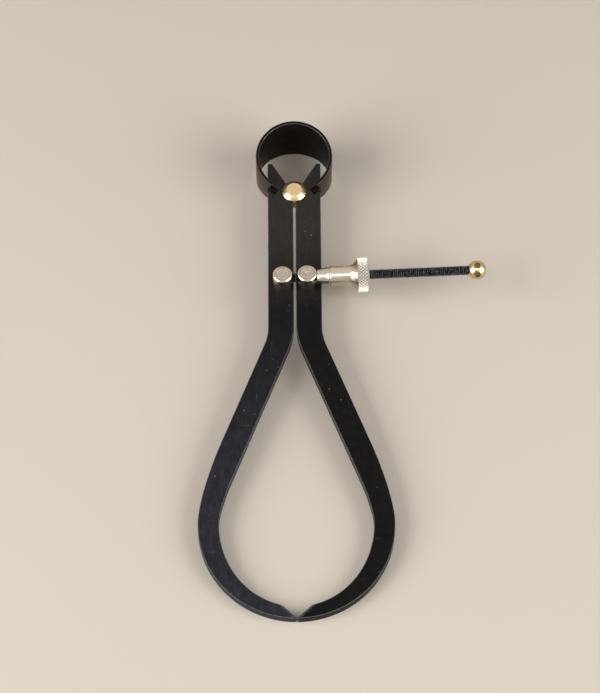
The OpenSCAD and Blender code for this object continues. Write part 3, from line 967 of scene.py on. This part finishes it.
class CALIPER_OT_nut(bpy.types.Operator):
    """The quick nut: sleeve with a knurled flange, two half nuts, wire ring and end ring"""
    bl_idname = "caliper.nut"
    bl_label = "Quick nut"

    def execute(self, context):
        look, nickel = context.scene.caliper_nut, context.scene.caliper_turned.nickel
        place = screw_place(RIGHT_POST)

        def metal(name, colour, *amounts, **settings):
            """Metal that is turned about the screw's axis."""
            return turned_metal(name, colour, place, ALONG_SCREW, *amounts, axis="X", **settings)

        # Sleeve: plain part, hollow flare and the body under the knurl
        sleeve = turned("knurled_sleeve", SLEEVE_FRONT + curve(FLARE, 14) + SLEEVE_BACK)
        finish_with(sleeve, metal("sleeve_nickel", nickel, 0.24, 0.6, ring=0.94, spread=0.6))
        smooth(sleeve, TURNED_ANGLE)
        band = knurled_band(KNURL_RADIUS, KNURL_LOW, KNURL_HIGH, look, (
            # The diamonds: a near-white copy of the nickel, as a painted highlight
            metal("knurl_nickel", look.knurl, 0.56, 0.5, spread=0.0),
            # The grooves: dark brown, as painted shade
            metal("groove_nickel", look.groove, 0.5, spread=0.0)))
        smooth(band, 45)
        joined(sleeve, band)
        put_in_place(sleeve, place, ALONG_SCREW)
        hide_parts("nut_sleeve")
        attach(sleeve, "nut")
        # Half nuts: turned as one, parted by a plane, and the second copied from the first
        whole = turned("upper_half_nut", HALF_NUTS)
        bpy.ops.object.mode_set(mode="EDIT")
        slice_at((-look.slit / 2, 0, 0), (1, 0, 0), use_fill=True, clear_outer=True)
        closed(whole)
        bpy.ops.object.duplicate()
        other = bpy.context.object
        other.name = other.data.name = "lower_half_nut"
        nose = metal("nose_nickel", nickel, 0.2, 2.2)
        for half, turn, body in ((whole, JAW_TURN, "jaw_upper"),
                                 (other, JAW_TURN + 180, "jaw_lower")):
            put_in_place(half, place, ALONG_SCREW @ Matrix.Rotation(math.radians(turn), 4, "Z"))
            smooth(half, TURNED_ANGLE)
            finish_with(half, nose)
            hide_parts(f"nut_{body}")
            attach(half, body)
        ring = turned("nut_end_cap", END_RING)
        put_in_place(ring, place, ALONG_SCREW)
        smooth(ring, TURNED_ANGLE)
        finish_with(ring, metal("ring_nickel", shade(nickel, 0.9), 0.28))
        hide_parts("nut_end_ring")
        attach(ring, "nut")
        finish_with(frame["nodes"]["nut_jaw_spring"], metal("wire_steel", TURNED_STEEL, 0.3))
        return {"FINISHED"}


# The stage, in metres: what the lamps face, where they stand, and their sizes
LIT = Vector((0.0, -0.07, 0.0))
SIDE_LAMP, SIDE_SIZE = (0.80, -0.34, 0.42), (0.85, 0.8)
TOP_LAMP, TOP_SIZE = (0.0, -0.56, 1.28), (1.3, 0.45)
LAMP_SPREAD = math.radians(150)
# Shares of the lamp on either side, and of the room's light that reaches the pieces
LEFT_SHARE, RIGHT_SHARE, ROOM_SHARE = 1.12, 0.88, 0.22
FLOOR_SIZE, FLOOR_GAP = 6, 0.02 * MM
# The camera stands where the photograph was taken from, about 60 degrees above the floor
CAMERA = Vector((-0.001929, -0.559978, 0.867431))
CAMERA_AIM = Vector((0.0014911, -0.0571528, HALFWAY))
CAMERA_LENS = 164.453


def lamp(name, place, size, watts):
    """A large soft lamp that faces the caliper and fades towards its sides."""
    bpy.ops.object.light_add(type="AREA", location=place)
    light = bpy.context.object
    light.name = name
    light.data.shape = "RECTANGLE"
    light.data.size, light.data.size_y = size
    light.data.energy = watts
    light.data.spread = LAMP_SPREAD
    light.rotation_euler = (LIT - Vector(place)).to_track_quat("-Z", "Y").to_euler()


class CALIPER_OT_stage(bpy.types.Operator):
    """Pale floor, soft lamps, the room's light and the camera"""
    bl_idname = "caliper.stage"
    bl_label = "Stage"

    def execute(self, context):
        look = context.scene.caliper_stage
        bpy.ops.object.select_all(action="DESELECT")
        # The caliper lies on the lower rim of its bow and on its tips, so it leans a little
        bow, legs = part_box("bow_spring_left"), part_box("left_leg")
        lean = (legs[0].z - bow[0].z) / (bow[1].y - legs[0].y)
        bpy.ops.mesh.primitive_plane_add(size=FLOOR_SIZE, rotation=(-math.atan(lean), 0, 0),
                                         location=(0, bow[1].y, bow[0].z - FLOOR_GAP))
        floor = take(bpy.context.object)
        floor.name = "floor"
        bpy.ops.object.transform_apply(location=True, rotation=True, scale=True)
        f = Finish("floor_paint")
        cloud = f.noise(f.place, 6, 4, 0.6)
        finish_with(floor, f.surface(colour=f.mix(cloud, shade(look.floor, 0.97), look.floor),
                                     roughness=0.85, specular=0.2))
        across, near, high = SIDE_LAMP
        lamp("side_lamp_-1", (-across, near, high), SIDE_SIZE, look.side_power * LEFT_SHARE)
        lamp("side_lamp_1", SIDE_LAMP, SIDE_SIZE, look.side_power * RIGHT_SHARE)
        lamp("top_lamp", TOP_LAMP, TOP_SIZE, look.top_power)
        world = bpy.data.worlds.new("room")
        context.scene.world = world
        world.use_nodes = True
        room = Nodes(world.node_tree)
        # Camera and polished metal see the room in full, and its light on the pieces is held back
        ray = room.add("LightPath").outputs
        seen = room.maths("MAXIMUM", ray["Is Camera Ray"], ray["Is Glossy Ray"])
        seen = room.maths("MAXIMUM", seen, ray["Is Transmission Ray"])
        # The room is pale overhead, and darker low down and on the camera's side
        parts = room.add("SeparateXYZ", {0: room.add("TexCoord").outputs["Generated"]}).outputs
        overhead = room.ramp(parts[2], 0.0, 0.75)
        behind = room.ramp(parts[1], -0.7, -0.1)
        colour = room.mix(room.times(overhead, behind), look.horizon, look.ceiling)
        room.fill(world.node_tree.nodes["Background"],
                  {"Color": colour, "Strength": room.ramp(seen, 0.0, 1.0, ROOM_SHARE)})
        context.scene.view_settings.view_transform = "Standard"
        bpy.ops.object.camera_add(location=CAMERA)
        camera = bpy.context.object
        camera.name = "camera"
        aim = CAMERA_AIM - camera.location
        camera.rotation_euler = aim.to_track_quat("-Z", "Y").to_euler()
        camera.data.sensor_width = 36
        camera.data.lens = CAMERA_LENS
        camera.data.clip_start, camera.data.clip_end = 0.05, 20
        context.scene.camera = camera
        return {"FINISHED"}


PIECES = (CALIPER_OT_legs, CALIPER_OT_bow_spring, CALIPER_OT_stud, CALIPER_OT_posts,
          CALIPER_OT_screw, CALIPER_OT_ball, CALIPER_OT_nut, CALIPER_OT_stage)
GROUPS = {"caliper_legs": CaliperLegs, "caliper_bow": CaliperBow, "caliper_turned": CaliperTurned,
          "caliper_screw": CaliperScrew, "caliper_nut": CaliperNut, "caliper_stage": CaliperStage}


class CALIPER_PT_panel(bpy.types.Panel):
    """Lists the pieces of the caliper and their sizes"""
    bl_idname = "CALIPER_PT_panel"
    bl_label = "Outside spring caliper"
    bl_space_type = "VIEW_3D"
    bl_region_type = "UI"
    bl_category = "Caliper"

    def draw(self, context):
        for piece in PIECES:
            self.layout.operator(piece.bl_idname)
        for name, group in GROUPS.items():
            box = self.layout.box()
            for size in group.__annotations__:
                box.prop(getattr(context.scene, name), size)


def register():
    for kind in (*GROUPS.values(), *PIECES, CALIPER_PT_panel):
        bpy.utils.register_class(kind)
    for name, group in GROUPS.items():
        setattr(bpy.types.Scene, name, bpy.props.PointerProperty(type=group))


def unregister():
    for name in GROUPS:
        delattr(bpy.types.Scene, name)
    for kind in (CALIPER_PT_panel, *reversed(PIECES), *reversed(list(GROUPS.values()))):
        bpy.utils.unregister_class(kind)


def main():
    register()
    bpy.ops.caliper.legs()
    bpy.ops.caliper.bow_spring()
    bpy.ops.caliper.stud()
    bpy.ops.caliper.posts()
    bpy.ops.caliper.screw()
    bpy.ops.caliper.ball()
    bpy.ops.caliper.nut()
    bpy.ops.caliper.stage()


if __name__ == "__main__":
    main()
